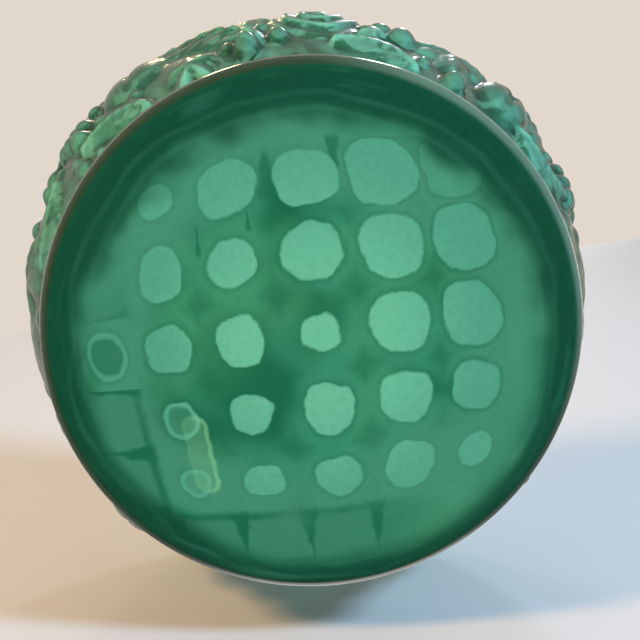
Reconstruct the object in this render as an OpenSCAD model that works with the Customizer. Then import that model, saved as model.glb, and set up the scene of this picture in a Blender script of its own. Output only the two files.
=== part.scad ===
// Powder jar of pressed malachite glass: a round bowl with a polished flat base and a relief of
// grapes, leaves, fruit and roses round its side, closed by a lift-off lid with a grape-bunch knob.
// Millimetres, +Z up, origin at the middle of the base.

/* [Bowl] */
// Radius of the base, out to the end of its rounded heel
base_r = 48; // [44:1:50]
// Radius of the rounding of the heel
heel_r = 3; // [2:0.5:3]
// Depth of the groove between the heel and the relief
groove_depth = 1.5; // [0.5:0.5:2]
// Height of the bowl, from the base to the rim
bowl_h = 45; // [42:1:52]
// Radius of the wall's background at its widest
belly_r = 54.5; // [53:0.5:56]
// Radius of the plain band at the rim
rim_r = 54; // [53:0.5:56]
// Radius of the mouth
mouth_r = 47.5; // [46:0.5:48]
// Radius of the inside floor, out to the wall
floor_r = 42; // [40:0.5:43]
// Thickness of the floor
floor_t = 6; // [5:0.5:8]

/* [Floor dimples] */
// Distance between neighbouring dimples, both ways
dimple_pitch = 13.1; // [12.5:0.1:16]
// Radius of a dimple at the floor's surface
dimple_r = 4.6; // [3:0.1:5]
// Depth of a dimple
dimple_depth = 1.2; // [0.6:0.1:2]
// Turn of the dimple grid about the jar's axis, in degrees
dimple_turn = 38.5; // [0:0.5:89]
// How far the grid's middle stands off the jar's axis along X
dimple_shift_x = -1.4; // [-4:0.1:4]
// How far the grid's middle stands off the jar's axis along Y
dimple_shift_y = -0.8; // [-4:0.1:4]

/* [Relief] */
// How far the relief stands out from the wall
relief_h = 3; // [2:0.1:3.5]
// Turn of a leaf in the wall's face, in degrees
leaf_turn = 35; // [0:5:60]

/* [Lid] */
// Radius of the lid's edge
lid_r = 56; // [55:0.5:58]
// Height of the lid's plain edge
lid_edge_h = 5; // [4:0.5:7]
// Height of the dome above the lid's edge
dome_h = 9; // [7:0.5:12]
// Thickness of the glass of the lid
lid_t = 5; // [4:0.5:6]
// Depth of the locating ring that hangs inside the mouth
ring_h = 4; // [3:0.5:6]
// Radial play between the locating ring and the mouth
ring_play = 0.8; // [0.4:0.1:1.2]
// Thickness of the locating ring
ring_t = 4; // [3:0.5:5]

/* [Knob] */
// Radius of the knob's core
knob_r = 11; // [10:0.5:13]
// Height of the knob's core
knob_h = 13; // [11:0.5:15]
// Radius of a grape of the knob
knob_grape_r = 2.6; // [2:0.1:2.8]
// Number of leaves round the knob
lid_leaf_count = 6; // [4:1:8]
// Length of a leaf from its middle to its tip
lid_leaf_length = 13; // [9:1:14]

/* [Hidden] */
$fn = 96;
round_fn = 48;
malachite = "seagreen";
arc_steps = 8;
wall_steps = 12;
dome_steps = 12;

// The bowl: foot, waist, belly, and the plain band under the rim
edge_chamfer = 1;
foot_h = 2 * heel_r;
waist_r = base_r - groove_depth;
waist_z = foot_h + 1;
belly_z = 0.6 * bowl_h;
band_h = 5;
band_z = bowl_h - band_h;

// The hollow: its floor's rounding, and the room left under the lid's ring
inner_round = 5;
ring_room = 2;
mouth_z = bowl_h - ring_h - ring_room;

// The dimples: the sphere that cuts one, and how far from the axis their middles reach
dimple_sphere_r = (dimple_r * dimple_r + dimple_depth * dimple_depth) / (2 * dimple_depth);
dimple_reach = floor_r - inner_round - dimple_r;

// The relief: how deep its pieces are rooted in the wall, and the proportions of each kind
copies = 2;
root = 2;
leaf_bow = 0.36;
leaf_rise = 0.55 * relief_h;
rib_rise = 0.8 * relief_h;
rib_w = 1.2;
rib_share = 0.8;
bunch_rows = 4;
row_pitch = 1.7;
grape_pitch = 1.9;
pit_share = 0.24;
pit_lift = 0.4;
rose_steps = 3;

// The lid: its ring, its dome, and the leaves that lie on the dome
ring_out_r = mouth_r - ring_play;
ring_in_r = ring_out_r - ring_t;
dome_r0 = lid_r - 2;
dome_top_z = bowl_h + lid_edge_h + dome_h;
lid_leaf_r = 0.6 * dome_r0;
lid_leaf_t = 3;

// The knob: how far it is sunk in the dome, its neck, and its rings of grapes as [height, count]
knob_sink = 1;
neck_h = 2;
neck_step = 2;
grape_sink = 0.5;
grape_lean = 60;
knob_rings = [[3, 11], [7.5, 9], [11.2, 5]];

// The relief's motifs: [kind, angle about the axis, height on the wall, size].
// Each stands once in every copy round the jar.
motifs = [
    ["leaf", 52, 22, 10], ["berry", 72, 30, 3.2], ["bunch", 83, 24, 2.6], ["fruit", 98, 24, 9],
    ["berry", 111, 33, 3], ["leaf", 121, 22, 11], ["rose", 137, 25, 8.5], ["berry", 149, 30, 3],
    ["berry", 153, 21, 3], ["leaf", 162, 26, 9], ["fruit", 173, 21, 7], ["leaf", 185, 27, 10],
    ["bunch", 199, 24, 2.4], ["berry", 210, 31, 2.8], ["leaf", 220, 21, 8]
];

// Points of an arc about [x, y], from angle a0 to a1
function arc(x, y, r, a0, a1) = [
    for (i = [0:arc_steps])
        let (a = a0 + (a1 - a0) * i / arc_steps)
        [x + r * cos(a), y + r * sin(a)]
];

// Radius of the wall's background at height z: a swell from the waist to the belly, then in to the rim
function wall_r(z) =
    z < belly_z ? waist_r + (belly_r - waist_r) * sin(90 * (z - waist_z) / (belly_z - waist_z))
                : belly_r - (belly_r - rim_r) * (1 - cos(90 * (z - belly_z) / (bowl_h - belly_z)));

// How far the wall leans out from upright at height z, in degrees
function wall_lean(z) = atan((wall_r(z + 1) - wall_r(z - 1)) / 2);

// Middle of the dimple in row i and column j of the turned and shifted grid
function dimple_at(i, j) =
    let (x = i * dimple_pitch, y = j * dimple_pitch, c = cos(dimple_turn), s = sin(dimple_turn))
    [x * c - y * s + dimple_shift_x, x * s + y * c + dimple_shift_y];

// Height of the dome's outer surface at radius r
function dome_z(r) = bowl_h + lid_edge_h + dome_h * cos(90 * r / dome_r0);

// How far the dome falls away at radius r, in degrees
function dome_fall(r) = atan((dome_z(r - 1) - dome_z(r + 1)) / 2);

// Radius of the knob's core at height h over its foot: a rounded mound on a short neck
function core_r(h) = h < 0 ? knob_r - neck_step : knob_r * sqrt(max(0, 1 - pow(h / knob_h, 2)));

// Places its children on the wall, facing squarely out of it along their own +Z
module on_wall(angle, z)
    rotate([0, 0, angle])
        translate([wall_r(z), 0, z])
            rotate([0, 90 + wall_lean(z), 0])
                children();

// A grape sunk in the wall, standing relief_h out of it
module grape(r)
    translate([0, 0, relief_h - r]) sphere(r, $fn = round_fn);

// A bunch of grapes, in rows that shorten downwards
module bunch(r)
    for (row = [0:bunch_rows - 1])
        for (i = [0:bunch_rows - 1 - row])
            translate([(row - (bunch_rows - 1) / 2) * row_pitch * r,
                       (i - (bunch_rows - 1 - row) / 2) * grape_pitch * r, 0])
                grape(r);

// A round fruit with a small pit at its crown
module fruit(r)
    difference() {
        grape(r);
        translate([0, 0, relief_h + pit_lift]) sphere(pit_share * r, $fn = round_fn);
    }

// A pointed leaf outline along X, where two circles cross
module leaf_outline(length) {
    bow = leaf_bow * length;
    side_r = (length * length + bow * bow) / (2 * bow);
    intersection() {
        translate([0, side_r - bow]) circle(side_r);
        translate([0, bow - side_r]) circle(side_r);
    }
}

// A leaf standing out of the wall, with its midrib
module leaf(length)
    rotate([0, 0, leaf_turn])
        translate([0, 0, -root]) {
            linear_extrude(root + leaf_rise) leaf_outline(length);
            translate([-rib_share * length, -rib_w / 2, 0])
                cube([2 * rib_share * length, rib_w, root + rib_rise]);
        }

// A rose as stepped rounds that rise towards its middle
module rose(r)
    translate([0, 0, -root])
        for (i = [0:rose_steps - 1])
            cylinder(h = root + relief_h * (0.5 + 0.25 * i), r = r * (1 - 0.3 * i), $fn = round_fn);

module motif(m) {
    if (m[0] == "berry") grape(m[3]);
    if (m[0] == "bunch") bunch(m[3]);
    if (m[0] == "fruit") fruit(m[3]);
    if (m[0] == "leaf") leaf(m[3]);
    if (m[0] == "rose") rose(m[3]);
}

module relief()
    for (copy = [0:copies - 1])
        for (m = motifs)
            on_wall(m[1] + copy * 360 / copies, m[2]) motif(m);

// The bowl's solid outside, before it is hollowed
module bowl_outside()
    rotate_extrude()
        polygon(concat(
            [[0, 0]],
            arc(base_r - heel_r, heel_r, heel_r, -90, 90),
            [[waist_r, foot_h]],
            [for (i = [0:wall_steps]) let (z = waist_z + (band_z - waist_z) * i / wall_steps) [wall_r(z), z]],
            [[rim_r, bowl_h - edge_chamfer], [rim_r - edge_chamfer, bowl_h], [0, bowl_h]]));

// The space inside the bowl, from the floor up past the rim
module bowl_inside()
    rotate_extrude()
        polygon(concat(
            [[0, floor_t]],
            arc(floor_r - inner_round, floor_t + inner_round, inner_round, -90, 0),
            [[mouth_r, mouth_z], [mouth_r, bowl_h + 1], [0, bowl_h + 1]]));

// Shallow round dimples on a square grid in the floor, as far out as it stays flat
module floor_dimples() {
    n = ceil(dimple_reach / dimple_pitch);
    for (i = [-n:n])
        for (j = [-n:n])
            let (p = dimple_at(i, j))
                if (norm(p) <= dimple_reach)
                    translate([p.x, p.y, floor_t - dimple_depth + dimple_sphere_r])
                        sphere(dimple_sphere_r, $fn = round_fn);
}

module bowl()
    color(malachite)
        difference() {
            union() {
                bowl_outside();
                relief();
            }
            bowl_inside();
            floor_dimples();
        }

// The domed lid in section: locating ring, seat, edge, dome and hollow
module lid_shell()
    rotate_extrude()
        polygon(concat(
            [[ring_in_r, bowl_h - ring_h], [ring_out_r, bowl_h - ring_h], [ring_out_r, bowl_h]],
            [[lid_r - edge_chamfer, bowl_h], [lid_r, bowl_h + edge_chamfer]],
            [[lid_r, bowl_h + lid_edge_h - edge_chamfer]],
            [for (i = [0:dome_steps]) let (r = dome_r0 * (1 - i / dome_steps)) [r, dome_z(r)]],
            [for (i = [0:dome_steps]) let (r = ring_in_r * i / dome_steps) [r, dome_z(r) - lid_t]]));

// The knob's core: a rounded mound on a short neck
module knob_core()
    rotate_extrude()
        polygon(concat(
            [[0, -neck_h], [core_r(-neck_h), -neck_h], [core_r(-neck_h), 1]],
            [for (i = [1:arc_steps]) let (h = knob_h * sin(90 * i / arc_steps)) [core_r(h), h]]));

// The knob: its core, with grapes standing out of it in rings that close in towards the top
module knob()
    translate([0, 0, dome_top_z - knob_sink]) {
        knob_core();
        for (ring = [0:len(knob_rings) - 1])
            let (h = knob_rings[ring][0], count = knob_rings[ring][1])
                for (i = [0:count - 1])
                    rotate([0, 0, (i + ring / 2) * 360 / count])
                        translate([core_r(h) - grape_sink, 0, h])
                            rotate([0, grape_lean, 0])
                                sphere(knob_grape_r, $fn = round_fn);
    }

// Leaves spread over the dome, round the knob, each lying along the dome's fall
module lid_leaves()
    for (i = [0:lid_leaf_count - 1])
        rotate([0, 0, i * 360 / lid_leaf_count])
            translate([lid_leaf_r, 0, dome_z(lid_leaf_r) - lid_leaf_t / 2])
                rotate([0, dome_fall(lid_leaf_r), 0])
                    linear_extrude(lid_leaf_t) leaf_outline(lid_leaf_length);

module lid()
    color(malachite) {
        lid_shell();
        knob();
        lid_leaves();
    }

bowl();
lid();
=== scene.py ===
from math import cos, pi, radians, sin, tau

import bpy
import numpy as np
from mathutils import Matrix, Vector


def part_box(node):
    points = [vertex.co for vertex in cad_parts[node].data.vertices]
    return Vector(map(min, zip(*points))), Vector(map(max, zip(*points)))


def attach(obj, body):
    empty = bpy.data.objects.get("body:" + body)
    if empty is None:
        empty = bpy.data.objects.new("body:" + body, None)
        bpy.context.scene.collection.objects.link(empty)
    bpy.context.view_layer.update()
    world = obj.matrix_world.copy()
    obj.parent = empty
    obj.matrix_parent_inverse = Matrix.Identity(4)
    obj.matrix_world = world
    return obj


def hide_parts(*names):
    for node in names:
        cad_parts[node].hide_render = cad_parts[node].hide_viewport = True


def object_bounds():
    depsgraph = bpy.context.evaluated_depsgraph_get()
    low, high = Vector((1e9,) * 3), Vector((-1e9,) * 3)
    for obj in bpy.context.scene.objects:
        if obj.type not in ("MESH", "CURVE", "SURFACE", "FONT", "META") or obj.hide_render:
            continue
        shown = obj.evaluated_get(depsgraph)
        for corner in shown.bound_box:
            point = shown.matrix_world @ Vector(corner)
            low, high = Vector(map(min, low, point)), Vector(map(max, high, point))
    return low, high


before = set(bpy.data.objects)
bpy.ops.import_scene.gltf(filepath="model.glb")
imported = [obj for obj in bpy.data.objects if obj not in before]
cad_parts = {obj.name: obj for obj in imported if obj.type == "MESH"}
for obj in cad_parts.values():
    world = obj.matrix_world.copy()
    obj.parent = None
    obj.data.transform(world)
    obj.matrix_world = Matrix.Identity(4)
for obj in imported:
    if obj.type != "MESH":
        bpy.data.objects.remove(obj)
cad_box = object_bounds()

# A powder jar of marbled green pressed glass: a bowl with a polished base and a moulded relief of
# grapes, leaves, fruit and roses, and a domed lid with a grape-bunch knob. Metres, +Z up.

MM = 0.001
SEED = 7

# Heights and widths that the frame gives, in millimetres
bowl_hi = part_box("bowl")[1]
lid_lo, lid_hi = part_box("lid")
BOWL_H = bowl_hi.z / MM
LID_R = lid_hi.x / MM
RING_H = BOWL_H - lid_lo.z / MM
KNOB_TOP = lid_hi.z / MM

# The rest of the bowl's section, in millimetres
BASE_R = 48
HEEL_R = 3
WAIST_R = 46.5
WAIST_Z = 7
BELLY_R = 54.5
BELLY_Z = 0.6 * BOWL_H
RIM_R = 54
BAND_Z = BOWL_H - 5
MOUTH_R = 47.5
MOUTH_ROUND = 0.6
MOUTH_Z = BOWL_H - RING_H - 2
FLOOR_R = 42
FLOOR_T = 6
FLOOR_ROUND = 5
EDGE_ROUND = 1
RELIEF_H = 3

# The rest of the lid's section
LID_EDGE_H = 5
LID_EDGE_ROUND = 1.5
LID_T = 5
LID_RELIEF_H = 2.2
DOME_H = 9
DOME_R = LID_R - 2
DOME_TOP = BOWL_H + LID_EDGE_H + DOME_H
RING_PLAY = 0.8
RING_T = 4
RING_ROUND = 0.8
RING_OUT_R = MOUTH_R - RING_PLAY
RING_IN_R = RING_OUT_R - RING_T
RING_LOW = BOWL_H - RING_H
NECK_R = 9

# The knob's bunch of grapes about the knob's own centre, each ring as (degrees from the top, grapes)
KNOB_Z = DOME_TOP - 1
KNOB_TALL = 10.6
KNOB_WIDE = 9.0
KNOB_WIDE_LOW = 8.6
KNOB_CORE = 8.4
GRAPE_R = 3.0
GRAPE_RINGS = ((30, 6), (56, 10), (80, 12), (101, 12))

# The grid of dimples in the floor, as the part has it: spacing, turn and where its middle lies
DIMPLE_PITCH = 13.1
GRID_TURN = radians(38.5)
DIMPLE_SHIFT = (-1.4, -0.8)
DIMPLE_R = 4.6
DIMPLE_DEPTH = 1.2
# The grid of pale spots that the base shows, which draws together towards its edge
GRID_PITCH = 14.24
GRID_SHIFT = (-1.65, 0.23)
GRID_SQUEEZE = 0.077e-3

# How many points stand round a ring: on the carved outside, and on the plain inside
FINE = 640
PLAIN = FINE // 2


# ---------------------------------------------------------------- sections and skins

def arc(r0, z0, radius, start, end, steps):
    """Points of an arc in the section, from angle start to angle end in degrees."""
    angles = np.radians(np.linspace(start, end, steps))
    return [(r0 + radius * cos(a), z0 + radius * sin(a)) for a in angles]


def line(start, end, steps):
    """Points from just after start up to end."""
    return [tuple(np.add(start, np.subtract(end, start) * t)) for t in np.linspace(0, 1, steps + 1)[1:]]


def angles_of(count):
    return np.arange(count) * tau / count


def ring(r, z, count):
    """One ring of points about the axis. r and z may be numbers or one value per point."""
    a = angles_of(count)
    return np.stack([r * np.cos(a), r * np.sin(a), np.broadcast_to(z, a.shape)], axis=1)


def bridge(a, b):
    """Faces between two rings of indices, where one may have twice the points of the other."""
    na, nb = len(a), len(b)
    if na == 1:
        return [(a[0], b[(j + 1) % nb], b[j]) for j in range(nb)]
    if nb == 1:
        return [(a[j], a[(j + 1) % na], b[0]) for j in range(na)]
    if na == nb:
        return [(a[j], a[(j + 1) % na], b[(j + 1) % na], b[j]) for j in range(na)]
    faces = []
    if na == 2 * nb:
        for j in range(nb):
            left, middle, right = a[2 * j], a[2 * j + 1], a[(2 * j + 2) % na]
            here, after = b[j], b[(j + 1) % nb]
            faces += [(left, middle, here), (middle, right, after), (middle, after, here)]
    else:
        for j in range(na):
            left, middle, right = b[2 * j], b[2 * j + 1], b[(2 * j + 2) % nb]
            here, after = a[j], a[(j + 1) % na]
            faces += [(here, middle, left), (here, after, middle), (after, right, middle)]
    return faces


MARKS = ("carved", "thick", "ridge")


class Skin:
    """A closed smooth mesh built ring by ring, in millimetres, with marks of the carving on each point."""

    def __init__(self, first):
        self.points, self.faces, self.last = [], [], None
        self.marks = {name: [] for name in MARKS}
        self.add(first)

    def add(self, ring_points, *values):
        start = len(self.points)
        index = list(range(start, start + len(ring_points)))
        self.points.extend((ring_points * MM).tolist())
        for name, value in zip(MARKS, values or (0, 0, 0)):
            self.marks[name].extend(np.broadcast_to(value, len(index)).tolist())
        if self.last is not None:
            self.faces += bridge(self.last, index)
        self.last = index

    def piece(self, name):
        mesh = bpy.data.meshes.new(name)
        mesh.from_pydata(self.points, [], self.faces)
        for mark, values in self.marks.items():
            mesh.attributes.new(mark, "FLOAT", "POINT").data.foreach_set("value", values)
        mesh.shade_smooth()
        mesh.update()
        piece = bpy.data.objects.new(name, mesh)
        bpy.context.scene.collection.objects.link(piece)
        return piece


# ---------------------------------------------------------------- the carving's motifs

def smooth(low, high, x):
    """0 below low, 1 above high, and a smooth step between."""
    t = np.clip((x - low) / (high - low), 0, 1)
    return t * t * (3 - 2 * t)


def turned(u, v, degrees):
    a = radians(degrees)
    return u * cos(a) + v * sin(a), v * cos(a) - u * sin(a)


def ball(u, v, size, top=1.0):
    return top * np.sqrt(np.clip(1 - (u * u + v * v) / size ** 2, 0, None))


def fruit(u, v, size):
    """A round fruit with a cleft and a small pit."""
    body = ball(u, v, size)
    cleft = 0.2 * np.exp(-((u - 0.16 * v) / (0.09 * size)) ** 2)
    pit = 0.34 * np.exp(-(u * u + v * v) / (0.16 * size) ** 2)
    return np.clip(body - (cleft + pit) * body, 0, None)


def bunch(u, v, size):
    """Grapes in rows that shorten downwards, the middle ones standing highest."""
    out = np.zeros_like(u)
    rows = 5
    for row in range(rows):
        count = rows - row
        for i in range(count):
            du, dv = (i - (count - 1) / 2) * 1.8 * size, (rows / 2 - row) * 1.55 * size
            du, dv = du + 0.22 * size * sin(7 * row + 3 * i), dv + 0.2 * size * cos(5 * row + 4 * i)
            away = abs(i - (count - 1) / 2) / rows
            out = np.maximum(out, ball(u - du, v - dv, 1.06 * size, 1.0 - 0.35 * away))
    return out


def vine_leaf(u, v, size, turn=0):
    """A five-lobed leaf with a notch at its stalk, a softly toothed edge and branching veins."""
    x, y = turned(u, v, turn)
    x, y = x / size, y / size
    rho, phi = np.hypot(x, y), np.arctan2(y, x)
    lobes = 0.68 + 0.32 * np.abs(np.cos(2.5 * phi)) ** 0.8
    notch = 1 - 0.5 * np.exp(-((np.abs(phi) - pi) / 0.35) ** 2)
    edge = lobes * notch * (1 + 0.025 * np.cos(21 * phi))
    dome = np.clip(1 - (rho / edge) ** 2, 0, None) ** 0.5
    height = 0.62 * dome
    for lobe in (-144, -72, 0, 72, 144):
        a = radians(lobe)
        along, across = x * cos(a) + y * sin(a), y * cos(a) - x * sin(a)
        vein = np.exp(-(across / 0.05) ** 2) * smooth(0, 0.15, along)
        off = np.abs(across)
        side = np.exp(-(off / 0.28) ** 2) * np.cos((along - off) * 27) * smooth(0.1, 0.3, along)
        height = height + dome * (0.22 * vein + 0.045 * side)
    return height


def blade(u, v, size, turn=0):
    """A long curved leaf with a midrib and slanting side veins."""
    x, y = turned(u, v, turn)
    x = x / size
    y = y / size - 0.22 * (x * x - 0.5)
    half = 0.4 * np.sqrt(np.clip(1 - x * x, 0, None)) * (1 - 0.25 * x) + 1e-6
    dome = np.clip(1 - (y / half) ** 2, 0, None) ** 0.5
    rib = np.exp(-(y / 0.045) ** 2)
    veins = np.cos((x - 1.3 * np.abs(y)) * 24)
    return dome * (0.55 + 0.22 * rib + 0.05 * veins)


def rose(u, v, size):
    """Petals that wind outwards round a bud, each a rounded ridge."""
    rho, phi = np.hypot(u, v) / size, np.arctan2(v, u)
    wave = 1 + 0.05 * np.cos(5 * phi)
    turns = rho / wave * 3.4 - phi / tau
    ridge = 0.5 - 0.5 * np.cos(tau * turns)
    dome = np.sqrt(np.clip(1 - (rho / wave) ** 2, 0, None))
    return dome * (0.55 + 0.45 * ridge ** 0.7)


def tendril(u, v, size, turn=0):
    """A stalk that curls up at its end."""
    x, y = turned(u, v, turn)
    out = np.zeros_like(u)
    for t in np.linspace(0, 1, 46):
        a = 2.2 * tau * t
        reach = size * (1 - 0.86 * t)
        cx, cy = reach * cos(a) - size, reach * sin(a)
        out = np.maximum(out, np.exp(-((x - cx) ** 2 + (y - cy) ** 2) / (0.75 - 0.2 * t) ** 2))
    return 0.45 * out


# How much each round shape darkens the glass by its thickness
THICK = {ball: 1.0, bunch: 0.9, fruit: 0.55}
# How far a motif reaches from its middle, in sizes
REACH = {bunch: 5.2}


def place(motifs, copies, u_of, v, out):
    """Lays all motifs, each repeated round the jar, over the heights in out. u_of gives the distance along
    the wall. Returns how far each point lies under thick round glass, from 0 to 1."""
    thick = np.zeros_like(out)
    for kind, angle, height, size, *turn in motifs:
        for copy in range(copies):
            u = u_of(radians(angle + copy * 360 / copies))
            reach = REACH.get(kind, 2.4) * size + 4
            near = (np.abs(u) < reach) & (np.abs(v - height) < reach)
            if near.any():
                lift = kind(u[near], (v - height)[near], size, *turn)
                over = lift > out[near]
                thick[near] = np.where(over, THICK.get(kind, 0) * smooth(0.1, 0.6, lift), thick[near])
                out[near] = np.maximum(out[near], lift)
    return thick


def fill(tries, copies, u_of, v, reach, carved, thick, seed):
    """Small leaves and berries wherever the motifs leave the wall bare."""
    rng = np.random.default_rng(seed)
    for _ in range(tries):
        kind = (ball, vine_leaf, blade)[rng.integers(3)]
        size = rng.uniform(*{ball: (1.5, 2.4), vine_leaf: (3.4, 5.2), blade: (4.0, 6.5)}[kind])
        angle, height, turn = rng.uniform(0, 360 / copies), rng.uniform(*reach), rng.uniform(0, 360)
        near = u_of(radians(angle)) ** 2 + (v - height) ** 2 < (0.8 * size) ** 2
        if near.any() and carved[near].max() < 0.38:
            motif = (kind, angle, height, size, size / 3.4 if kind is ball else turn)
            np.maximum(thick, place([motif], copies, u_of, v, carved), out=thick)


def soften(field, times):
    """Rounds the carving's edges: each pass averages every point with its neighbours."""
    for _ in range(times):
        field = (np.roll(field, 1, axis=1) + 2 * field + np.roll(field, -1, axis=1)) / 4
        padded = np.concatenate([field[:1], field, field[-1:]])
        field = (padded[:-2] + 2 * padded[1:-1] + padded[2:]) / 4
    return field


def marks_of(carved, thick, fade):
    """The carving's height, its thickness, and where it is a ridge (above 0) or a groove (below 0)."""
    carved = soften(carved, 1) * fade
    return carved, soften(thick, 2) * fade, (carved - soften(carved, 10)) * fade


# Motifs of half of the bowl's side: [shape, angle round the jar, height on the wall, size, turn]
BOWL_MOTIFS = [
    (vine_leaf, 52, 21, 10.5, 60), (ball, 72, 30, 3.2), (bunch, 83, 24, 2.5), (fruit, 98, 24, 8),
    (ball, 111, 33, 3), (blade, 114, 21, 13, 150), (rose, 136, 24, 9.5), (ball, 149.5, 30, 3),
    (ball, 153, 21, 3.1), (vine_leaf, 164, 24, 10, 200), (fruit, 177, 17, 6.5), (blade, 185, 28, 12, 25),
    (bunch, 200, 24, 2.4), (ball, 213, 33, 2.8), (vine_leaf, 219, 20, 9, 320),
    (blade, 66, 14, 9, 20), (blade, 91, 12.5, 9, 165), (vine_leaf, 110, 12, 5.5, 90),
    (vine_leaf, 124, 33, 6.5, 250), (ball, 122, 12, 2.6), (blade, 148, 12.5, 9, 170),
    (vine_leaf, 152, 36, 4.6, 100), (blade, 173, 34, 8.5, 200), (ball, 165, 11.5, 2.7),
    (blade, 191, 14, 9, 15), (vine_leaf, 205, 11.5, 5.5, 60), (vine_leaf, 67, 35, 5.5, 120),
    (tendril, 78, 36, 3.2, 40), (tendril, 106, 27, 3, 120), (tendril, 145, 36, 2.8, 200),
    (tendril, 190, 36.5, 3.2, 70), (tendril, 212, 26, 2.6, 150), (blade, 97, 35.5, 8, 8),
    (ball, 43, 32, 2.8), (ball, 46, 12, 2.8), (blade, 226, 34, 8.5, 160),
]

# Motifs of a third of the lid's dome, as angle round the jar and distance from its axis
LID_MOTIFS = [
    (vine_leaf, 0, 30, 11, 180), (vine_leaf, 60, 34, 9.5, 200), (bunch, 30, 38, 2.2),
    (tendril, 88, 27, 3.2, 60), (blade, 94, 41, 9, 80), (ball, 78, 43, 2.6), (rose, 104, 30, 6),
    (ball, 16, 46, 2.2), (ball, 45, 24, 2.2), (tendril, 20, 24, 2.6, 200),
]


def ripple(u, v, seed):
    """The uneven ground between the motifs, a sum of crossed waves, from -1 to 1."""
    rng = np.random.default_rng(seed)
    out = np.zeros(np.broadcast(u, v).shape)
    for wave in range(9):
        turns, rise, phase = rng.integers(-26, 27), rng.uniform(-0.5, 0.5), rng.uniform(0, tau)
        out = out + np.sin(turns * u + rise * v + phase)
    return out / 9


# ---------------------------------------------------------------- the bowl

def wall_r(z):
    """Radius of the wall's background: a swell from the waist to the belly, then in to the rim."""
    below = np.clip((z - WAIST_Z) / (BELLY_Z - WAIST_Z), 0, 1)
    above = np.clip((z - BELLY_Z) / (BOWL_H - BELLY_Z), 0, 1)
    swell = WAIST_R + (BELLY_R - WAIST_R) * np.sin(pi / 2 * below)
    return swell - (BELLY_R - RIM_R) * (1 - np.cos(pi / 2 * above))


# Where the relief stands lower or higher than elsewhere: (middle and half width in degrees, change)
RELIEF_CHANGES = ((30, 25, -0.72), (222, 20, -0.62), (122, 9, 0.4), (179, 11, 0.35))


def relief_share(angle):
    """How high the relief stands round the jar, as a share of RELIEF_H."""
    share = np.ones_like(angle)
    for middle, wide, change in RELIEF_CHANGES:
        off = (np.degrees(angle) - middle + 180) % 360 - 180
        share += change * np.exp(-(off / wide) ** 4)
    return share


def wall_carving(z):
    """The relief's marks on every point of the carved rings at heights z."""
    a = angles_of(FINE)[None, :]
    v = np.broadcast_to(z[:, None], (len(z), FINE))

    def along(angle):
        return np.broadcast_to(((a - angle + pi) % tau - pi) * BELLY_R, v.shape)

    carved = 0.14 + 0.14 * ripple(a, v, SEED)
    thick = place(BOWL_MOTIFS, 2, along, v, carved)
    fill(420, 2, along, v, (9, BAND_Z - 3), carved, thick, SEED)
    fade = smooth(WAIST_Z - 0.2, WAIST_Z + 1.2, v) * (1 - smooth(BAND_Z - 2, BAND_Z, v))
    return marks_of(carved, thick, fade)


def dimple_places():
    """Middles of the dimples in the floor, in millimetres."""
    reach = FLOOR_R - FLOOR_ROUND - DIMPLE_R
    for i in range(-3, 4):
        for j in range(-3, 4):
            x, y = i * DIMPLE_PITCH, j * DIMPLE_PITCH
            px = x * cos(GRID_TURN) - y * sin(GRID_TURN) + DIMPLE_SHIFT[0]
            py = x * sin(GRID_TURN) + y * cos(GRID_TURN) + DIMPLE_SHIFT[1]
            if np.hypot(px, py) <= reach:
                yield px, py


def floor_z(r, count):
    """Height of the dimpled floor round a ring."""
    a = angles_of(count)
    x, y = r * np.cos(a), r * np.sin(a)
    dip = np.zeros(count)
    for px, py in dimple_places():
        d = np.hypot(x - px, y - py) / DIMPLE_R
        dip = np.maximum(dip, np.clip(1 - d * d, 0, None))
    return FLOOR_T - DIMPLE_DEPTH * dip


def bowl_outside(wall):
    """Adds the base from its middle outwards, the heel, the groove and the carved wall."""
    for r in np.linspace(4, BASE_R - HEEL_R, 11)[:-1]:
        wall.add(ring(r, 0, PLAIN))
    heel = arc(BASE_R - HEEL_R, HEEL_R, HEEL_R, -90, 62, 15)
    groove = line(heel[-1], (WAIST_R - 0.3, WAIST_Z - 0.9), 2) + [(WAIST_R - 0.1, WAIST_Z - 0.4)]
    for r, z in heel + groove:
        wall.add(ring(r, z, FINE))
    heights = np.linspace(WAIST_Z, BAND_Z, 84)
    relief = RELIEF_H * relief_share(angles_of(FINE))
    for z, carved, *rest in zip(heights, *wall_carving(heights)):
        wall.add(ring(wall_r(z) + relief * carved, z, FINE), carved, *rest)


def bowl_section():
    """The section from the plain band over the rim and down the inside to the floor's edge."""
    mouth = MOUTH_R + MOUTH_ROUND
    section = line((RIM_R, BAND_Z), (RIM_R, BOWL_H - EDGE_ROUND), 3)
    section += arc(RIM_R - EDGE_ROUND, BOWL_H - EDGE_ROUND, EDGE_ROUND, 15, 90, 5)
    section += line((RIM_R - EDGE_ROUND, BOWL_H), (mouth, BOWL_H), 2)
    section += arc(mouth, BOWL_H - MOUTH_ROUND, MOUTH_ROUND, 105, 180, 4)
    section += line((MOUTH_R, BOWL_H - MOUTH_ROUND), (MOUTH_R, MOUTH_Z), 4)
    section += line((MOUTH_R, MOUTH_Z), (FLOOR_R, FLOOR_T + FLOOR_ROUND), 12)
    return section + arc(FLOOR_R - FLOOR_ROUND, FLOOR_T + FLOOR_ROUND, FLOOR_ROUND, -10, -90, 8)


def make_bowl():
    wall = Skin(np.zeros((1, 3)))
    bowl_outside(wall)
    for r, z in bowl_section():
        wall.add(ring(r, z, PLAIN))
    for r in np.linspace(FLOOR_R - FLOOR_ROUND, 1, 44)[1:]:
        wall.add(ring(r, floor_z(r, PLAIN), PLAIN))
    wall.add(np.array([[0, 0, floor_z(0, 1)[0]]]))
    return wall.piece("bowl_glass")


# ---------------------------------------------------------------- the lid

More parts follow.
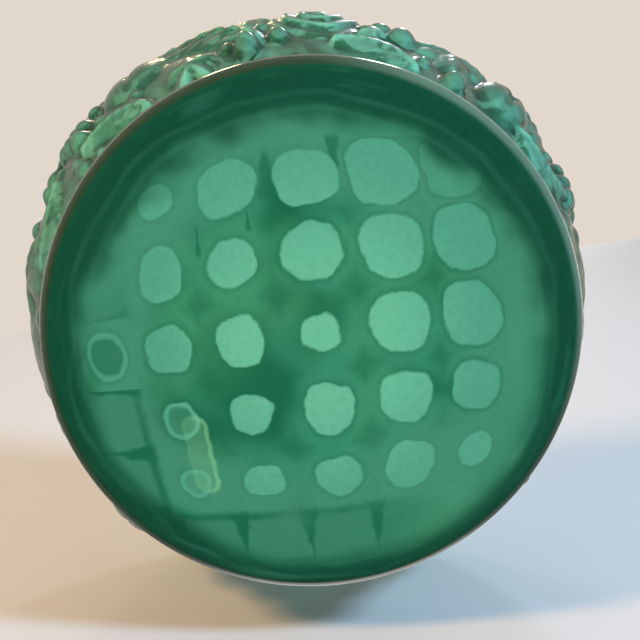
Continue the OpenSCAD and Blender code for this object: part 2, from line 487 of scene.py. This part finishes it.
def dome_z(r):
    return BOWL_H + LID_EDGE_H + DOME_H * np.cos(pi / 2 * r / DOME_R)


def dome_carving(r):
    """The relief's marks on every point of the dome's rings of radius r."""
    a = angles_of(FINE)[None, :]
    v = np.broadcast_to(r[:, None], (len(r), FINE))

    def along(angle):
        return ((a - angle + pi) % tau - pi) * v

    carved = 0.08 + 0.07 * ripple(a, v, SEED + 1)
    thick = place(LID_MOTIFS, 3, along, v, carved)
    fill(160, 3, along, v, (NECK_R + 6, DOME_R - 6), carved, thick, SEED + 1)
    fade = (1 - smooth(DOME_R - 6, DOME_R - 2, v)) * smooth(NECK_R + 1, NECK_R + 5, v)
    return marks_of(carved, thick, fade)


def knob_grapes():
    """Middles of the knob's grapes: one on top, then ring by ring down past the knob's middle."""
    grapes = [(0, 0, KNOB_TALL)]
    for degrees, count in GRAPE_RINGS:
        polar = radians(degrees)
        out = (KNOB_WIDE if degrees < 90 else KNOB_WIDE_LOW) * sin(polar)
        for i in range(count):
            a = (i + 0.5 * (count % 4 == 0)) * tau / count
            grapes.append((out * cos(a), out * sin(a), KNOB_TALL * cos(polar)))
    return np.array(grapes)


def knob_rings(count, steps):
    """Rings over the knob, each point as far out as the outermost grape in its direction."""
    grapes = knob_grapes()
    a = angles_of(count)
    for polar in np.radians(np.linspace(112, 2, steps)):
        way = np.stack([sin(polar) * np.cos(a), sin(polar) * np.sin(a), np.full(count, cos(polar))], axis=1)
        reach = way @ grapes.T
        under = reach ** 2 - (grapes ** 2).sum(axis=1) + GRAPE_R ** 2
        hit = np.where((under > 0) & (reach > 0), reach + np.sqrt(np.clip(under, 0, None)), 0)
        far = np.maximum(hit.max(axis=1), KNOB_CORE)
        yield way * far[:, None] + (0, 0, KNOB_Z), smooth(KNOB_CORE, 12, far)


def lid_section():
    """The section from inside the locating ring, round it and along the seat to the plain edge."""
    inner, outer = RING_IN_R + RING_ROUND, RING_OUT_R - RING_ROUND
    low = RING_LOW + RING_ROUND
    edge_top = BOWL_H + LID_EDGE_H - LID_EDGE_ROUND
    section = line((RING_IN_R, dome_z(RING_IN_R) - LID_T), (RING_IN_R, low), 4)
    section += arc(inner, low, RING_ROUND, 190, 270, 5)
    section += arc(outer, low, RING_ROUND, 270, 350, 5)
    section += line((RING_OUT_R, low), (RING_OUT_R, BOWL_H), 3)
    section += line((RING_OUT_R, BOWL_H), (LID_R - EDGE_ROUND, BOWL_H), 4)
    section += arc(LID_R - EDGE_ROUND, BOWL_H + EDGE_ROUND, EDGE_ROUND, -75, 0, 5)
    section += line((LID_R, BOWL_H + EDGE_ROUND), (LID_R, edge_top), 3)
    return section + arc(LID_R - LID_EDGE_ROUND, edge_top, LID_EDGE_ROUND, 15, 80, 5)


def make_lid():
    cover = Skin(np.array([[0, 0, dome_z(0) - LID_T]]))
    for r in np.linspace(0, RING_IN_R, 16)[1:-1]:
        cover.add(ring(r, dome_z(r) - LID_T, PLAIN))
    for r, z in lid_section():
        cover.add(ring(r, z, PLAIN))
    radii = np.linspace(DOME_R, NECK_R + 0.6, 92)
    for r, carved, *rest in zip(radii, *dome_carving(radii)):
        cover.add(ring(r, dome_z(r) + LID_RELIEF_H * carved, FINE), carved, *rest)
    for r, z in [(NECK_R, DOME_TOP - 0.2), (NECK_R - 0.2, DOME_TOP + 0.4)]:
        cover.add(ring(r, z, PLAIN))
    for points, carved in knob_rings(PLAIN, 74):
        if points[:, 2].min() > DOME_TOP - 0.1:
            cover.add(points, carved, 0.7 * carved, 0.16 * carved - 0.08)
    cover.add(np.array([[0, 0, KNOB_TOP]]), 1, 0.7, 0.08)
    return cover.piece("lid_glass")


# ---------------------------------------------------------------- the glass

def feed(tree, value, socket):
    """Links a node's output to a socket, or sets the socket to a plain number or colour."""
    value = getattr(value, "socket", value)
    if isinstance(value, bpy.types.NodeSocket):
        tree.links.new(value, socket)
    elif isinstance(value, tuple):
        socket.default_value = (*value, 1)
    else:
        socket.default_value = value


def mix_colours(tree, share, a, b):
    """From colour a to colour b as share goes from 0 to 1."""
    node = tree.nodes.new("ShaderNodeMix")
    node.data_type = "RGBA"
    for value, socket in ((share, node.inputs["Factor"]), (a, node.inputs[6]), (b, node.inputs[7])):
        feed(tree, value, socket)
    return node.outputs[2]


class Sum:
    """A number in a node tree, written with ordinary arithmetic."""

    def __init__(self, tree, socket):
        self.tree, self.socket = tree, socket

    def join(self, operation, *others):
        node = self.tree.nodes.new("ShaderNodeMath")
        node.operation = operation
        for socket, value in zip(node.inputs, (self, *others)):
            feed(self.tree, value, socket)
        return Sum(self.tree, node.outputs[0])

    def __add__(self, other):
        return self.join("ADD", other)

    def __sub__(self, other):
        return self.join("SUBTRACT", other)

    def __mul__(self, other):
        return self.join("MULTIPLY", other)

    def __truediv__(self, other):
        return self.join("DIVIDE", other)

    def __pow__(self, other):
        return self.join("POWER", other)

    def __abs__(self):
        return self.join("ABSOLUTE")

    def __neg__(self):
        return self.join("MULTIPLY", -1)

    def __rsub__(self, other):
        return (-self).join("ADD", other)

    def __rtruediv__(self, other):
        return self.join("POWER", -1) * other

    __radd__ = __add__
    __rmul__ = __mul__

    def round(self):
        return self.join("ROUND")

    def top(self, other):
        return self.join("MAXIMUM", other)

    def low(self, other):
        return self.join("MINIMUM", other)

    def step(self, low, high):
        """0 at low, 1 at high, smooth between; low may lie above high."""
        node = self.tree.nodes.new("ShaderNodeMapRange")
        node.interpolation_type = "SMOOTHSTEP"
        for name, value in (("Value", self), ("From Min", low), ("From Max", high)):
            feed(self.tree, value, node.inputs[name])
        return Sum(self.tree, node.outputs["Result"])


class Glass:
    """Shorthand for the nodes of one material."""

    def __init__(self, name):
        self.material = bpy.data.materials.new(name)
        self.material.use_nodes = True
        self.tree = self.material.node_tree
        self.shader = self.tree.nodes["Principled BSDF"]
        coordinates = self.tree.nodes.new("ShaderNodeTexCoord")
        self.place, self.normal = coordinates.outputs["Object"], coordinates.outputs["Normal"]

    def set(self, name, value):
        """Feeds one of the shader's own sockets."""
        feed(self.tree, value, self.shader.inputs[name])

    def split(self, vector):
        node = self.tree.nodes.new("ShaderNodeSeparateXYZ")
        self.tree.links.new(vector, node.inputs[0])
        return [Sum(self.tree, out) for out in node.outputs]

    def join(self, x, y, z=0.0):
        node = self.tree.nodes.new("ShaderNodeCombineXYZ")
        for value, socket in zip((x, y, z), node.inputs):
            feed(self.tree, value, socket)
        return node.outputs[0]

    def attribute(self, name):
        node = self.tree.nodes.new("ShaderNodeAttribute")
        node.attribute_name = name
        return Sum(self.tree, node.outputs["Fac"])

    def noise(self, vector, size, detail=3.0, rough=0.5, distortion=0.0, w=None):
        """Noise whose lumps are about size millimetres across, from 0 to 1. Each w gives another one."""
        node = self.tree.nodes.new("ShaderNodeTexNoise")
        node.noise_dimensions = "3D" if w is None else "4D"
        settings = {"Vector": vector, "Scale": 1 / (size * MM), "Detail": detail, "Roughness": rough,
                    "Distortion": distortion}
        if w is not None:
            settings["W"] = w
        for name, value in settings.items():
            feed(self.tree, value, node.inputs[name])
        return Sum(self.tree, node.outputs[0])

    def random(self, vector):
        node = self.tree.nodes.new("ShaderNodeTexWhiteNoise")
        node.noise_dimensions = "3D"
        self.tree.links.new(vector, node.inputs["Vector"])
        return Sum(self.tree, node.outputs["Value"])

    def mix(self, share, a, b):
        return mix_colours(self.tree, share, a, b)


# Colours of the glass, linear
RIM_DEEP = (0.002, 0.060, 0.030)
DEEP = (0.006, 0.130, 0.062)
MID = (0.033, 0.250, 0.140)
WARM = (0.052, 0.290, 0.134)
HAZE = (0.056, 0.262, 0.165)
PALE = (0.140, 0.500, 0.318)
MUTED = (0.064, 0.310, 0.208)
STREAK = (0.210, 0.560, 0.300)
# Dark glass of the streaks and veins, also used for the painted shade in grooves and at glancing angles
DARK_GLASS_AND_PAINTED_SHADE = (0.006, 0.042, 0.022)
CARVED = (0.020, 0.120, 0.066)
MILKY = (0.050, 0.235, 0.155)
# Painted highlight on the ridges of the carving
PAINTED_RIDGE_HIGHLIGHT = (0.150, 0.480, 0.350)
BERRY = (0.008, 0.062, 0.033)
BEVEL = (0.026, 0.046, 0.024)
# Painted reflection on the heel's bevel towards the top right
PAINTED_BEVEL_REFLECTION = (0.090, 0.170, 0.125)
# Painted highlight on downward-facing parts of the carving
PAINTED_FACET_HIGHLIGHT = (0.160, 0.480, 0.350)


def marbling(glass):
    """Streaks of lighter and darker glass, folded into each other."""
    slow = glass.noise(glass.place, 60, 2, 0.5, 1.2)
    streaks = glass.noise(glass.place, 26, 4, 0.55, 2.6)
    fine = glass.noise(glass.place, 7, 3, 0.6, 1.4)
    return streaks * 0.6 + slow * 0.3 + fine * 0.1


# Dark wedges between the spots: middle across and along, in steps of the grid, half length, half width
# and how fast they narrow upwards
WEDGES = (
    (0.47, 2.08, 0.44, 0.100, 0.45), (-0.42, 2.30, 0.34, 0.085, -0.40),
    (0.75, 1.50, 0.16, 0.030, 0.45), (1.42, 1.32, 0.26, 0.030, 0.45),
)


def wedges(grid_x, grid_y, fray):
    """Dark folds between two spots, wide at one end and narrow at the other."""
    total = None
    for across, along, tall, wide, taper in WEDGES:
        rise = (grid_y - along) / tall + fray * 0.5
        side = abs(grid_x - across + fray * 0.10) / wide + rise * taper
        fold = side.step(1.15, 0.35) * abs(rise).step(1.0, 0.55)
        total = fold if total is None else total.top(fold)
    return total


def pale_fold(grid_x, grid_y, fray):
    """A long narrow loop, brightest along one side, that joins two ring-like spots."""
    across = grid_x - 1.82 + fray * 0.08
    along = grid_y - grid_y.top(-1.97).low(-1.12)
    far = (across * across + along * along) ** 0.5
    outline = far.step(0.09, 0.14) * far.step(0.21, 0.16) * (0.45 + 0.55 * across.step(0.10, -0.10))
    return outline.top(far.step(0.18, 0.10) * 0.4)


class Spots:
    """Where a point of the base lies in the grid of pale spots, and how far it is inside a spot."""

    def __init__(self, glass):
        x, y, _ = glass.split(glass.place)
        x, y = x / MM, y / MM
        self.radius = (x * x + y * y) ** 0.5
        x, y = x - GRID_SHIFT[0], y - GRID_SHIFT[1]
        pull = (x * x + y * y) * GRID_SQUEEZE
        spread = 1 + pull + 3 * pull * pull
        grid_x = (x * cos(GRID_TURN) + y * sin(GRID_TURN)) * spread / GRID_PITCH
        grid_y = (y * cos(GRID_TURN) - x * sin(GRID_TURN)) * spread / GRID_PITCH
        self.x, self.y, self.grid_x, self.grid_y = x, y, grid_x, grid_y
        self.cell_x, self.cell_y = grid_x.round(), grid_y.round()
        self.luck = glass.random(glass.join(self.cell_x, self.cell_y, 3.0))
        self.tint = glass.random(glass.join(self.cell_x, self.cell_y, 11.0))
        away = abs(self.cell_x).top(abs(self.cell_y))
        beside = self.cell_x.step(2.45, 2.55) * self.cell_x.step(3.55, 3.45)
        self.lone = beside * abs(self.cell_y).step(0.55, 0.45)
        self.core = away.step(2.55, 2.45).top(self.lone)
        self.measure(glass, away)

    def measure(self, glass, away):
        """The spots' outlines: round in the middle of the grid, squarer outside it, lumpy everywhere."""
        self.lump = glass.noise(glass.place, 9, 1) - 0.5
        lump_y = glass.noise(glass.place, 9, 1, w=4.0) - 0.5
        self.fray = glass.noise(glass.place, 2.4, 2) - 0.5
        fray_y = glass.noise(glass.place, 2.4, 2, w=4.0) - 0.5
        self.off_x = abs(self.grid_x - self.cell_x + self.lump * 0.22 + self.fray * 0.10)
        self.off_y = abs(self.grid_y - self.cell_y + lump_y * 0.22 + fray_y * 0.10)
        power = 2.2 + 5 * (1 - self.core)
        reach = (self.off_x ** power + self.off_y ** power) ** (1 / power)
        corner_cell = (self.cell_x * self.cell_y).step(3.4, 3.6)
        size = 0.325 + 0.028 * (self.cell_y - self.cell_x) + 0.012 * away * away + 0.06 * (self.luck - 0.5)
        size = size - 0.100 * away.step(0.55, 0.45) - 0.115 * corner_cell
        size = size * self.core + 0.40 * (1 - self.core)
        blur = 0.022 + 0.05 * (1 - self.core)
        self.inside = reach.step(size + blur, size - blur)
        self.halo = reach.step(size + 0.11, size + 0.01)
        # At one side the spots are rings, paler round their edge than inside
        lower = self.cell_y.step(-0.8, -0.2) * (1 - self.lone)
        ring_share = self.cell_x.step(1.45, 1.55) * self.core * (1 - 0.85 * lower)
        self.hollow = reach.step(size - 0.03, size - 0.10) * ring_share


def ground_colour(glass, spots, uneven):
    """The glass between the spots: uneven, dark where four spots meet, hazy in a ring round the middle."""
    warmth = glass.noise(glass.place, 38, 2, 0.5, 1.0, w=9.0)
    near = spots.radius + (uneven - 0.5) * 22
    ground = glass.mix(warmth.step(0.44, 0.66) * 0.7, glass.mix(uneven.step(0.54, 0.38), MID, DEEP), WARM)
    corner = (spots.off_x + spots.off_y).step(0.62, 0.95) * spots.core
    ground = glass.mix(corner * 0.55, ground, DEEP)
    return glass.mix(near.step(22, 33) * near.step(45, 35) * 0.85, ground, HAZE)


def add_spots(glass, spots, colour):
    pale = glass.mix(spots.radius.step(10, 34) * 0.75 + 0.15 * spots.tint, PALE, MUTED)
    rim = spots.halo * (1 - spots.inside) * spots.core
    colour = glass.mix(rim * (0.12 + 0.3 * spots.tint), colour, DEEP)
    colour = glass.mix(spots.hollow * spots.lone * 0.6, colour, DEEP)
    filled = 1 - (0.75 + 0.2 * spots.lone) * spots.hollow
    faint = (1 - 0.55 * (spots.cell_y - spots.cell_x).step(3.4, 3.6)) * (1 - 0.25 * spots.lone)
    return glass.mix(spots.inside * spots.core * filled * faint, colour, pale)


def add_outer_squares(glass, spots, uneven, colour):
    """Squares with dark borders beyond the grid's middle, on the two lower sides."""
    low_left = ((spots.grid_x - spots.grid_y) * 0.5 + (uneven - 0.5) * 5).step(0.4, 1.9) * (1 - spots.lone)
    beyond = abs(spots.grid_x).top(abs(spots.grid_y)) + spots.fray * 0.08
    outer = beyond.step(2.45, 2.60)
    below = (abs(spots.grid_y) - abs(spots.grid_x)).step(-0.05, 0.05)
    beside = spots.off_x * below + spots.off_y * (1 - below)
    border = (beside - (beyond - 2.6) * 0.16).step(0.33, 0.41) * outer
    colour = glass.mix(outer * low_left * 0.84, colour, DEEP)
    colour = glass.mix(border * low_left * 0.75, colour, DEEP)
    patch = (1 - border) * beyond.step(2.60, 2.72) * low_left * spots.radius.step(44.0, 39.5)
    return glass.mix(patch * (0.32 + 0.34 * spots.luck), colour, HAZE)


def add_dark_edge(glass, spots, uneven, colour):
    """The base's dark edge, wider and ragged at the top, with faint arcs in it."""
    x, y, radius = spots.x, spots.y, spots.radius
    arc_noise = glass.noise(glass.join(x * 0.16 * MM, y * 0.16 * MM, radius * MM), 2.4, 2, 0.5)
    up = (y - x) * 0.7
    high = up.step(-30, 25)
    ragged = radius + high * (4.5 + spots.lump * 9) + (uneven - 0.5) * 8
    colour = glass.mix(ragged.step(39.2, 45.0) * 0.94, colour, RIM_DEEP)
    colour = glass.mix((radius + high * 2).step(42.3, 45.3) * 0.9, colour, RIM_DEEP)
    wave = radius + up * 0.04 + (glass.noise(glass.place, 24, 1, 0.5, 0.4, w=2.0) - 0.5) * 9
    for at, wide, share in ((40.2, 1.0, 0.05 + 0.10 * high), (42.9, 0.8, 0.06 + 0.05 * high)):
        streak = wave.step(at - wide, at) * wave.step(at + wide, at) * radius.step(36.5, 39)
        colour = glass.mix(streak * share * (0.3 + 1.0 * arc_noise), colour, MUTED)
    arcs = arc_noise.step(0.52, 0.75) * radius.step(40.5, 42.5) * radius.step(46.8, 45)
    return glass.mix(arcs * 0.16, colour, MUTED)


def base_colour(glass):
    """Colour of the polished base: pale round spots in a grid, a hazy ring round them, a dark edge."""
    spots = Spots(glass)
    uneven = glass.noise(glass.place, 30, 2, 0.5, 0.6)
    colour = ground_colour(glass, spots, uneven)
    colour = add_spots(glass, spots, colour)
    colour = add_outer_squares(glass, spots, uneven, colour)
    dark = wedges(spots.grid_x, spots.grid_y, spots.fray) * (1 - spots.inside)
    colour = glass.mix(dark * 0.7, colour, DEEP)
    colour = glass.mix(pale_fold(spots.grid_x, spots.grid_y, spots.fray) * 0.55, colour, STREAK)
    colour = add_dark_edge(glass, spots, uneven, colour)
    mottle = glass.noise(glass.place, 1.3, 3, 0.65).step(0.42, 0.62)
    return glass.mix(mottle * 0.09, colour, DEEP)


def side_colour(glass, carved, thick, ridge):
    """Colour of the moulded side: marbled, darker in the thick glass of berries, with painted shade in
    grooves and at glancing angles, and painted highlights on ridges and on parts that face down.
    """
    swirl = marbling(glass)
    body = glass.mix(swirl.step(0.44, 0.58), CARVED, MILKY)
    body = glass.mix(swirl.step(0.46, 0.36) * 0.6, body, DARK_GLASS_AND_PAINTED_SHADE)
    vein = glass.noise(glass.place, 5, 3, 0.55, 1.5)
    body = glass.mix(vein.step(0.50, 0.60) * 0.45, body, DARK_GLASS_AND_PAINTED_SHADE)
    body = glass.mix(thick * 0.85, body, BERRY)
    # Painted shade in the grooves, and painted highlights on the ridges, weaker over berries
    body = glass.mix(ridge.step(-0.01, -0.10) * 0.8, body, DARK_GLASS_AND_PAINTED_SHADE)
    body = glass.mix(ridge.step(0.01, 0.12) * (0.75 - 0.45 * thick), body, PAINTED_RIDGE_HIGHLIGHT)
    # Painted highlights in patches on downward-facing parts of the carving, weaker over berries
    painted_facet_patches = glass.noise(glass.place, 4, 2, 0.5, 0.8, w=6.0).step(0.47, 0.54)
    down = glass.split(glass.normal)[2].step(-0.2, -0.75)
    body = glass.mix(down * painted_facet_patches * carved.step(0.0, 0.1) * (0.45 - 0.3 * thick), body, PAINTED_FACET_HIGHLIGHT)
    # Painted shade: darker where the carved side is seen at a glancing angle, so the darkening follows the
    # camera
    painted_slant_shade = glass.tree.nodes.new("ShaderNodeLayerWeight")
    painted_slant_shade.inputs["Blend"].default_value = 0.5
    away = Sum(glass.tree, painted_slant_shade.outputs["Facing"])
    return glass.mix(away.step(0.30, 0.82) * 0.9 * carved.step(0.0, 0.1), body, DARK_GLASS_AND_PAINTED_SHADE)


def add_base(glass, colour, rough):
    """The underside and its heel over the side's colour and roughness."""
    x, y, z = (part / MM for part in glass.split(glass.place))
    colour = glass.mix(z.step(2.2, 0.9), colour, base_colour(glass))
    high = (y - x).step(-30, 20)
    bevel = ((x * x + y * y) ** 0.5).step(45.8, 46.8) * z.step(6.4, 5.8)
    # The heel's bevel in olive, paler towards the top right as a painted reflection
    edge = glass.mix((x + y).step(5, -30) * high, BEVEL, PAINTED_BEVEL_REFLECTION)
    polished = z.step(6.4, 5.6)
    worn = 0.07 + bevel * (0.38 - 0.32 * high)
    return glass.mix(bevel * 0.9, colour, edge), rough * (1 - polished) + worn * polished


def malachite_glass(name, with_base):
    """Marbled green glass, glossy, with light carried a little way inside it."""
    glass = Glass(name)
    carved, thick, ridge = (glass.attribute(mark) for mark in MARKS)
    colour = side_colour(glass, carved, thick, ridge)
    satin = 0.14 + 0.14 * glass.noise(glass.place, 5, 3) - 0.12 * thick
    rough = 0.11 + carved.step(0.0, 0.12) * satin
    if with_base:
        colour, rough = add_base(glass, colour, rough)
    bump = glass.tree.nodes.new("ShaderNodeBump")
    bump.inputs["Strength"].default_value = 0.25
    bump.inputs["Distance"].default_value = 0.0004
    grain = glass.noise(glass.place, 1.6, 3, 0.6) * (carved.step(0.0, 0.08) * 0.9 + 0.05)
    feed(glass.tree, grain, bump.inputs["Height"])
    glass.set("Base Color", colour)
    glass.set("Roughness", rough)
    glass.set("Normal", bump.outputs[0])
    glass.set("IOR", 1.52)
    glass.set("Subsurface Weight", 0.3)
    glass.set("Subsurface Scale", 0.003)
    glass.set("Coat Weight", 0.12)
    glass.set("Coat Roughness", 0.12)
    glass.shader.inputs["Subsurface Radius"].default_value = (0.4, 1.0, 0.7)
    return glass.material


# ---------------------------------------------------------------- the stage

# The jar is seen from under its base: image right and image up, as directions in the row frame
IMAGE_RIGHT = Vector((-1, -1, 0)).normalized()
IMAGE_UP = Vector((-1, 1, 0)).normalized()
AXIS = Vector((0, 0, 1))
CAMERA_TILT = radians(12.8)
CAMERA_SIDE = radians(2.4)
CAMERA_DISTANCE = 0.165
CAMERA_LENS = 53.29
CAMERA_AIM = (0.00082, 0.00322)

# The lights: name, place to the image's right, upwards and along the axis, size, power, colour, and
# whether the glass mirrors it
LIGHT_AIM = AXIS * 0.02
LIGHTS = (
    ("warm", (-0.55, 0.48, -0.25), 0.16, 6.0, (1.0, 0.59, 0.27), False),
    ("cool", (0.55, 0.48, -0.25), 0.16, 6.4, (0.50, 0.75, 1.0), False),
    ("glint_warm", (-0.14, 0.35, 0.50), 0.07, 0.40, (1.0, 0.80, 0.45), True),
    ("glint_cool", (0.14, 0.36, 0.50), 0.08, 0.55, (0.84, 0.93, 1.0), True),
    ("under_left", (-0.50, 0.00, -0.40), 0.35, 2.1, (1.0, 0.98, 0.94), False),
    ("under_right", (0.50, 0.00, -0.40), 0.35, 2.0, (0.94, 0.98, 1.0), False),
    ("top", (0.1, -0.15, 0.80), 0.6, 4.2, (1.0, 0.98, 0.95), True),
    ("front", (0.1, -0.75, 0.25), 0.7, 3.0, (1.0, 0.98, 0.96), True),
)

# The room's tones below, round about and overhead
ROOM_LOW = (0.10, 0.11, 0.11)
ROOM_MIDDLE = (0.36, 0.35, 0.34)
ROOM_HIGH = (0.76, 0.68, 0.60)

FLOOR_TONE = (0.50, 0.49, 0.47)
FLOOR_DROP = -0.0004
FLOOR_WIDE = 3.0
TABLE_TONE = (0.56, 0.57, 0.59)
# The table's ends and its near edge, and how far its slanting far edge is at either end
TABLE_LEFT = -0.45
TABLE_RIGHT = 0.90
TABLE_NEAR = -0.6
TABLE_FAR_LEFT = 0.0042
TABLE_FAR_RIGHT = 1.1333


def spot_at(right, up, axis):
    """A place given by the image's right, the image's up and the jar's axis."""
    return IMAGE_RIGHT * right + IMAGE_UP * up + AXIS * axis


def make_camera():
    data = bpy.data.cameras.new("camera")
    data.lens = CAMERA_LENS
    data.clip_start, data.clip_end = 0.01, 20
    camera = bpy.data.objects.new("camera", data)
    bpy.context.scene.collection.objects.link(camera)
    aside = IMAGE_UP * sin(CAMERA_TILT) - IMAGE_RIGHT * sin(CAMERA_SIDE)
    place = (aside - AXIS * (1 - aside.length_squared) ** 0.5) * CAMERA_DISTANCE
    ahead = (spot_at(*CAMERA_AIM, 0) - place).normalized()
    right = ahead.cross(IMAGE_UP).normalized()
    up = right.cross(ahead)
    turn = Matrix((right, up, -ahead)).transposed().to_4x4()
    camera.matrix_world = Matrix.Translation(place) @ turn
    bpy.context.scene.camera = camera


def make_light(name, place, size, power, colour, mirrored):
    data = bpy.data.lights.new(name, "AREA")
    data.shape, data.size, data.energy, data.color = "DISK", size, power, colour
    light = bpy.data.objects.new(name, data)
    bpy.context.scene.collection.objects.link(light)
    at = spot_at(*place)
    light.location = at
    light.visible_camera = False
    light.visible_glossy = mirrored
    light.rotation_mode = "QUATERNION"
    light.rotation_quaternion = (LIGHT_AIM - at).to_track_quat("-Z", "Y")


def make_world():
    """A room pale overhead, a mid tone round about and dark below, for the glass to mirror."""
    world = bpy.data.worlds.new("room")
    bpy.context.scene.world = world
    world.use_nodes = True
    tree = world.node_tree
    way = tree.nodes.new("ShaderNodeTexCoord").outputs["Generated"]
    split = tree.nodes.new("ShaderNodeSeparateXYZ")
    feed(tree, way, split.inputs[0])
    height = Sum(tree, split.outputs[2])
    tone = mix_colours(tree, height.step(-0.35, 0.15), ROOM_LOW, ROOM_MIDDLE)
    tone = mix_colours(tree, height.step(0.40, 0.78), tone, ROOM_HIGH)
    feed(tree, tone, tree.nodes["Background"].inputs["Color"])


def one_sided(name, colour):
    """A matt surface that is there only from its front."""
    material = bpy.data.materials.new(name)
    material.use_nodes = True
    tree = material.node_tree
    shader = tree.nodes["Principled BSDF"]
    shader.inputs["Base Color"].default_value = (*colour, 1)
    shader.inputs["Roughness"].default_value = 0.7
    clear = tree.nodes.new("ShaderNodeBsdfTransparent")
    back = tree.nodes.new("ShaderNodeNewGeometry").outputs["Backfacing"]
    mix = tree.nodes.new("ShaderNodeMixShader")
    for value, socket in zip((back, shader.outputs[0], clear.outputs[0]), mix.inputs):
        feed(tree, value, socket)
    feed(tree, mix.outputs[0], tree.nodes["Material Output"].inputs["Surface"])
    return material


def make_sheet(name, corners, colour):
    """A flat stage piece that only the camera sees, so that it shades nothing."""
    mesh = bpy.data.meshes.new(name)
    mesh.from_pydata([tuple(corner) for corner in corners], [], [(0, 1, 2, 3)])
    sheet = bpy.data.objects.new(name, mesh)
    bpy.context.scene.collection.objects.link(sheet)
    mesh.materials.append(one_sided(name, colour))
    for way in ("diffuse", "glossy", "transmission", "volume_scatter", "shadow"):
        setattr(sheet, "visible_" + way, False)


def make_stage():
    """The floor that the jar stands on, and the table that its side lies on in the main view."""
    signs = ((-1, -1), (1, -1), (1, 1), (-1, 1))
    make_sheet("floor", [(x * FLOOR_WIDE, y * FLOOR_WIDE, FLOOR_DROP) for x, y in signs], FLOOR_TONE)
    low = -max(abs(corner.y) for corner in cad_box)
    ends = ((TABLE_RIGHT, TABLE_NEAR), (TABLE_RIGHT, TABLE_FAR_RIGHT),
            (TABLE_LEFT, TABLE_FAR_LEFT), (TABLE_LEFT, TABLE_NEAR))
    make_sheet("table", [spot_at(right, low, axis) for right, axis in ends], TABLE_TONE)


# ---------------------------------------------------------------- the whole

bpy.context.scene.view_settings.view_transform = "Standard"
make_camera()
make_world()
for light in LIGHTS:
    make_light(*light)
make_stage()

bowl = make_bowl()
bowl.data.materials.append(malachite_glass("bowl_malachite", True))
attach(bowl, "bowl")
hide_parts("bowl")

lid = make_lid()
lid.data.materials.append(malachite_glass("lid_malachite", False))
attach(lid, "lid")
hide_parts("lid")
